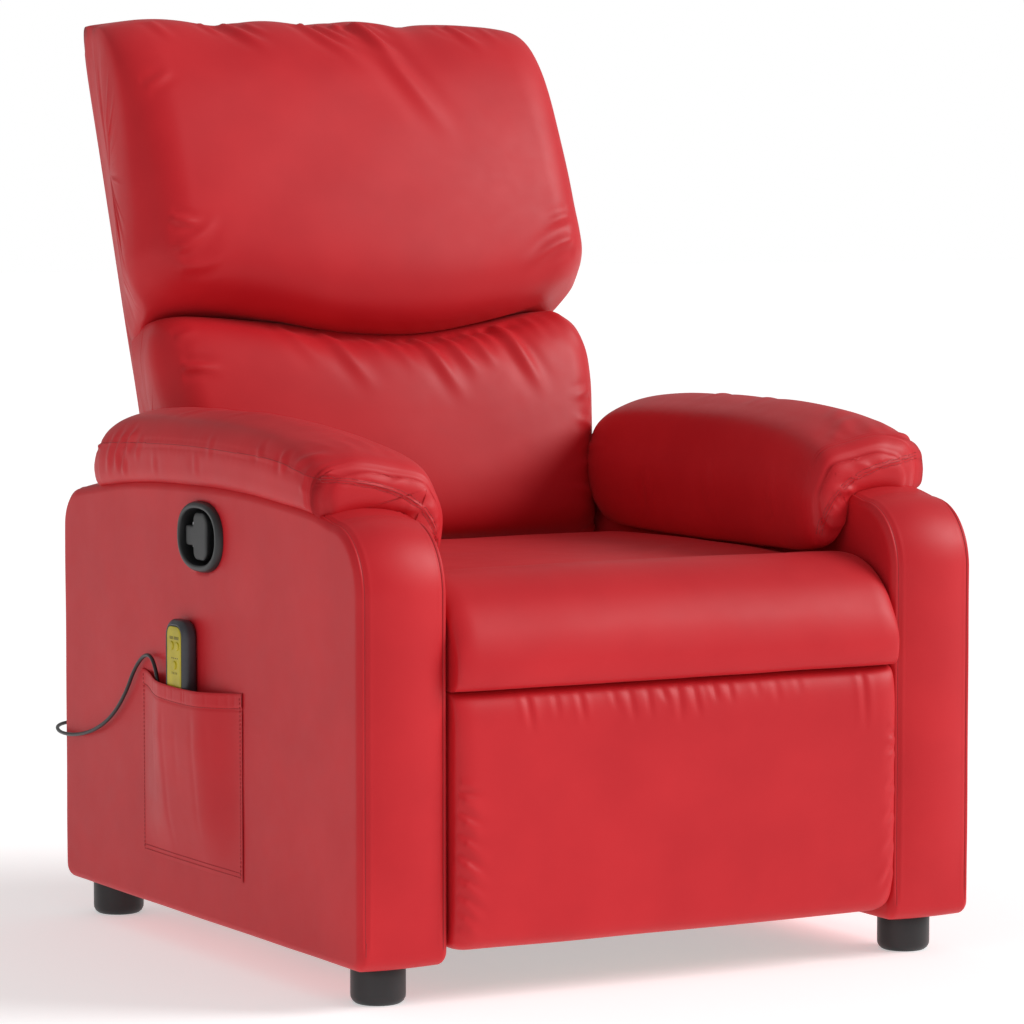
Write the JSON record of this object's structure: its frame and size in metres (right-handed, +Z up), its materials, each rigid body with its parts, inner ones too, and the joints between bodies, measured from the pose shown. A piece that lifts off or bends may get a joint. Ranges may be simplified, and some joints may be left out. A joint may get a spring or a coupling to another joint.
{
  "type": "massage chair",
  "caption": "Upholstered recliner massage chair with a leaning back, a fold-out footrest on scissor links, padded arms, a release handle and a corded handset in a side pocket.",
  "frame": {"origin": "on the floor under the middle of the chair's outer box", "axes": "+Z up, -Y towards the front (the sitter faces -Y), +X towards the sitter's left"},
  "size_m": [0.81, 0.9759, 1.0738],
  "materials": {
    "upholstery": "satin, fine grain",
    "frame_wood": "matt",
    "webbing": "matt",
    "steel": "satin",
    "zinc": "satin",
    "black_plastic": "matt",
    "handset_plastic": "matt",
    "membrane": "satin",
    "key_rubber": "matt",
    "cord_rubber": "satin"
  },
  "bodies": {
    "base": {"arm_cover_right": "upholstery", "arm_cover_left": "upholstery", "arm_frame_right": "frame_wood", "arm_frame_left": "frame_wood", "arm_pad_right": "upholstery", "arm_pad_left": "upholstery", "foot_front_right": "black_plastic", "foot_front_left": "black_plastic", "foot_rear_right": "black_plastic", "foot_rear_left": "black_plastic", "front_rail": "steel", "rear_rail": "steel", "slide_rail_right": "steel", "slide_rail_left": "steel", "handle_bezel": "black_plastic", "handle_pin": "zinc", "side_pocket": "upholstery", "handset_case": "handset_plastic", "handset_face": "membrane", "handset_cord": "cord_rubber", "cord_grommet": "black_plastic", "control_box": "black_plastic", "power_inlet": "black_plastic"},
    "seat": {"side_plate_right": "steel", "side_plate_left": "steel", "seat_frame": "frame_wood", "seat_webbing": "webbing", "seat_motor": "black_plastic", "seat_cushion": "upholstery", "seat_roll": "upholstery"},
    "back": {"back_shell": "upholstery", "back_frame": "frame_wood", "back_webbing": "webbing", "back_motor_right": "black_plastic", "back_motor_left": "black_plastic", "back_bracket_right": "steel", "back_bracket_left": "steel", "lumbar_cushion": "upholstery", "head_cushion": "upholstery"},
    "lift_bars": {"lift_bar_right": "zinc", "lift_bar_left": "zinc", "torsion_tube": "steel"},
    "slide_bars": {"slide_bar_right": "zinc", "slide_bar_left": "zinc"},
    "lower_bars": {"lower_bar_right": "zinc", "lower_bar_left": "zinc"},
    "front_bars": {"front_bar_right": "zinc", "front_bar_left": "zinc"},
    "stays": {"stay_right": "zinc", "stay_left": "zinc"},
    "footrest": {"footrest_board": "frame_wood", "footrest_pad": "upholstery", "rest_bracket_right": "steel", "rest_bracket_left": "steel"},
    "handle": {"handle_paddle": "black_plastic"},
    "key_1": {"key_1": "key_rubber"},
    "key_2": {"key_2": "key_rubber"},
    "key_3": {"key_3": "key_rubber"}
  },
  "joints": [
    {"name": "seat_slide", "type": "slide", "parent": "base", "child": "seat", "axis": [0, -1, 0], "range_m": [0, 0.06]},
    {"name": "recline", "type": "hinge", "parent": "seat", "child": "back", "pos_m": [0, 0.172, 0.347], "axis": [-1, 0, 0], "range_deg": [0, 35]},
    {"name": "footrest_lift", "type": "hinge", "parent": "seat", "child": "lift_bars", "pos_m": [0, -0.3446, 0.157], "axis": [1, 0, 0], "range_deg": [0, 41.44]},
    {"name": "slide_bar_cross", "type": "hinge", "parent": "lift_bars", "child": "slide_bars", "pos_m": [0, -0.34955, 0.2399], "axis": [1, 0, 0], "range_deg": [-83.08, 0]},
    {"name": "lower_bar_pivot", "type": "hinge", "parent": "lift_bars", "child": "lower_bars", "pos_m": [0, -0.3545, 0.32281], "axis": [1, 0, 0], "range_deg": [-83.08, 0]},
    {"name": "front_bar_pivot", "type": "hinge", "parent": "slide_bars", "child": "front_bars", "pos_m": [0, -0.36932, 0.15924], "axis": [1, 0, 0], "range_deg": [0, 83.08]},
    {"name": "footrest_tilt", "type": "hinge", "parent": "front_bars", "child": "footrest", "pos_m": [0, -0.37921, 0.32504], "axis": [1, 0, 0], "range_deg": [-131.74, 0]},
    {"name": "stay_pivot", "type": "hinge", "parent": "footrest", "child": "stays", "pos_m": [0, -0.39081, 0.28864], "axis": [1, 0, 0], "range_deg": [0, 104.8]},
    {"name": "release_handle", "type": "hinge", "parent": "base", "child": "handle", "pos_m": [-0.386, -0.053, 0.48], "axis": [0, 0, -1], "range_deg": [0, 30], "stiffness_Nm_per_rad": 0.4, "springref_deg": -14.32},
    {"name": "key_1_press", "type": "slide", "parent": "base", "child": "key_1", "axis": [1, 0, 0], "range_m": [0, 0.0006], "stiffness_N_per_m": 400, "springref_m": -0.0003},
    {"name": "key_2_press", "type": "slide", "parent": "base", "child": "key_2", "axis": [1, 0, 0], "range_m": [0, 0.0006], "stiffness_N_per_m": 400, "springref_m": -0.0003},
    {"name": "key_3_press", "type": "slide", "parent": "base", "child": "key_3", "axis": [1, 0, 0], "range_m": [0, 0.0006], "stiffness_N_per_m": 400, "springref_m": -0.0003}
  ],
  "couplings": [
    {"joint": "seat_slide", "follows": "recline", "m_per_rad": 0.098212},
    {"joint": "slide_bar_cross", "follows": "footrest_lift", "ratio": -2},
    {"joint": "lower_bar_pivot", "follows": "footrest_lift", "ratio": -2},
    {"joint": "front_bar_pivot", "follows": "footrest_lift", "ratio": 2},
    {"joint": "footrest_tilt", "follows": "footrest_lift", "ratio": -3.1718},
    {"joint": "stay_pivot", "follows": "footrest_lift", "ratio": 2.52}
  ]
}
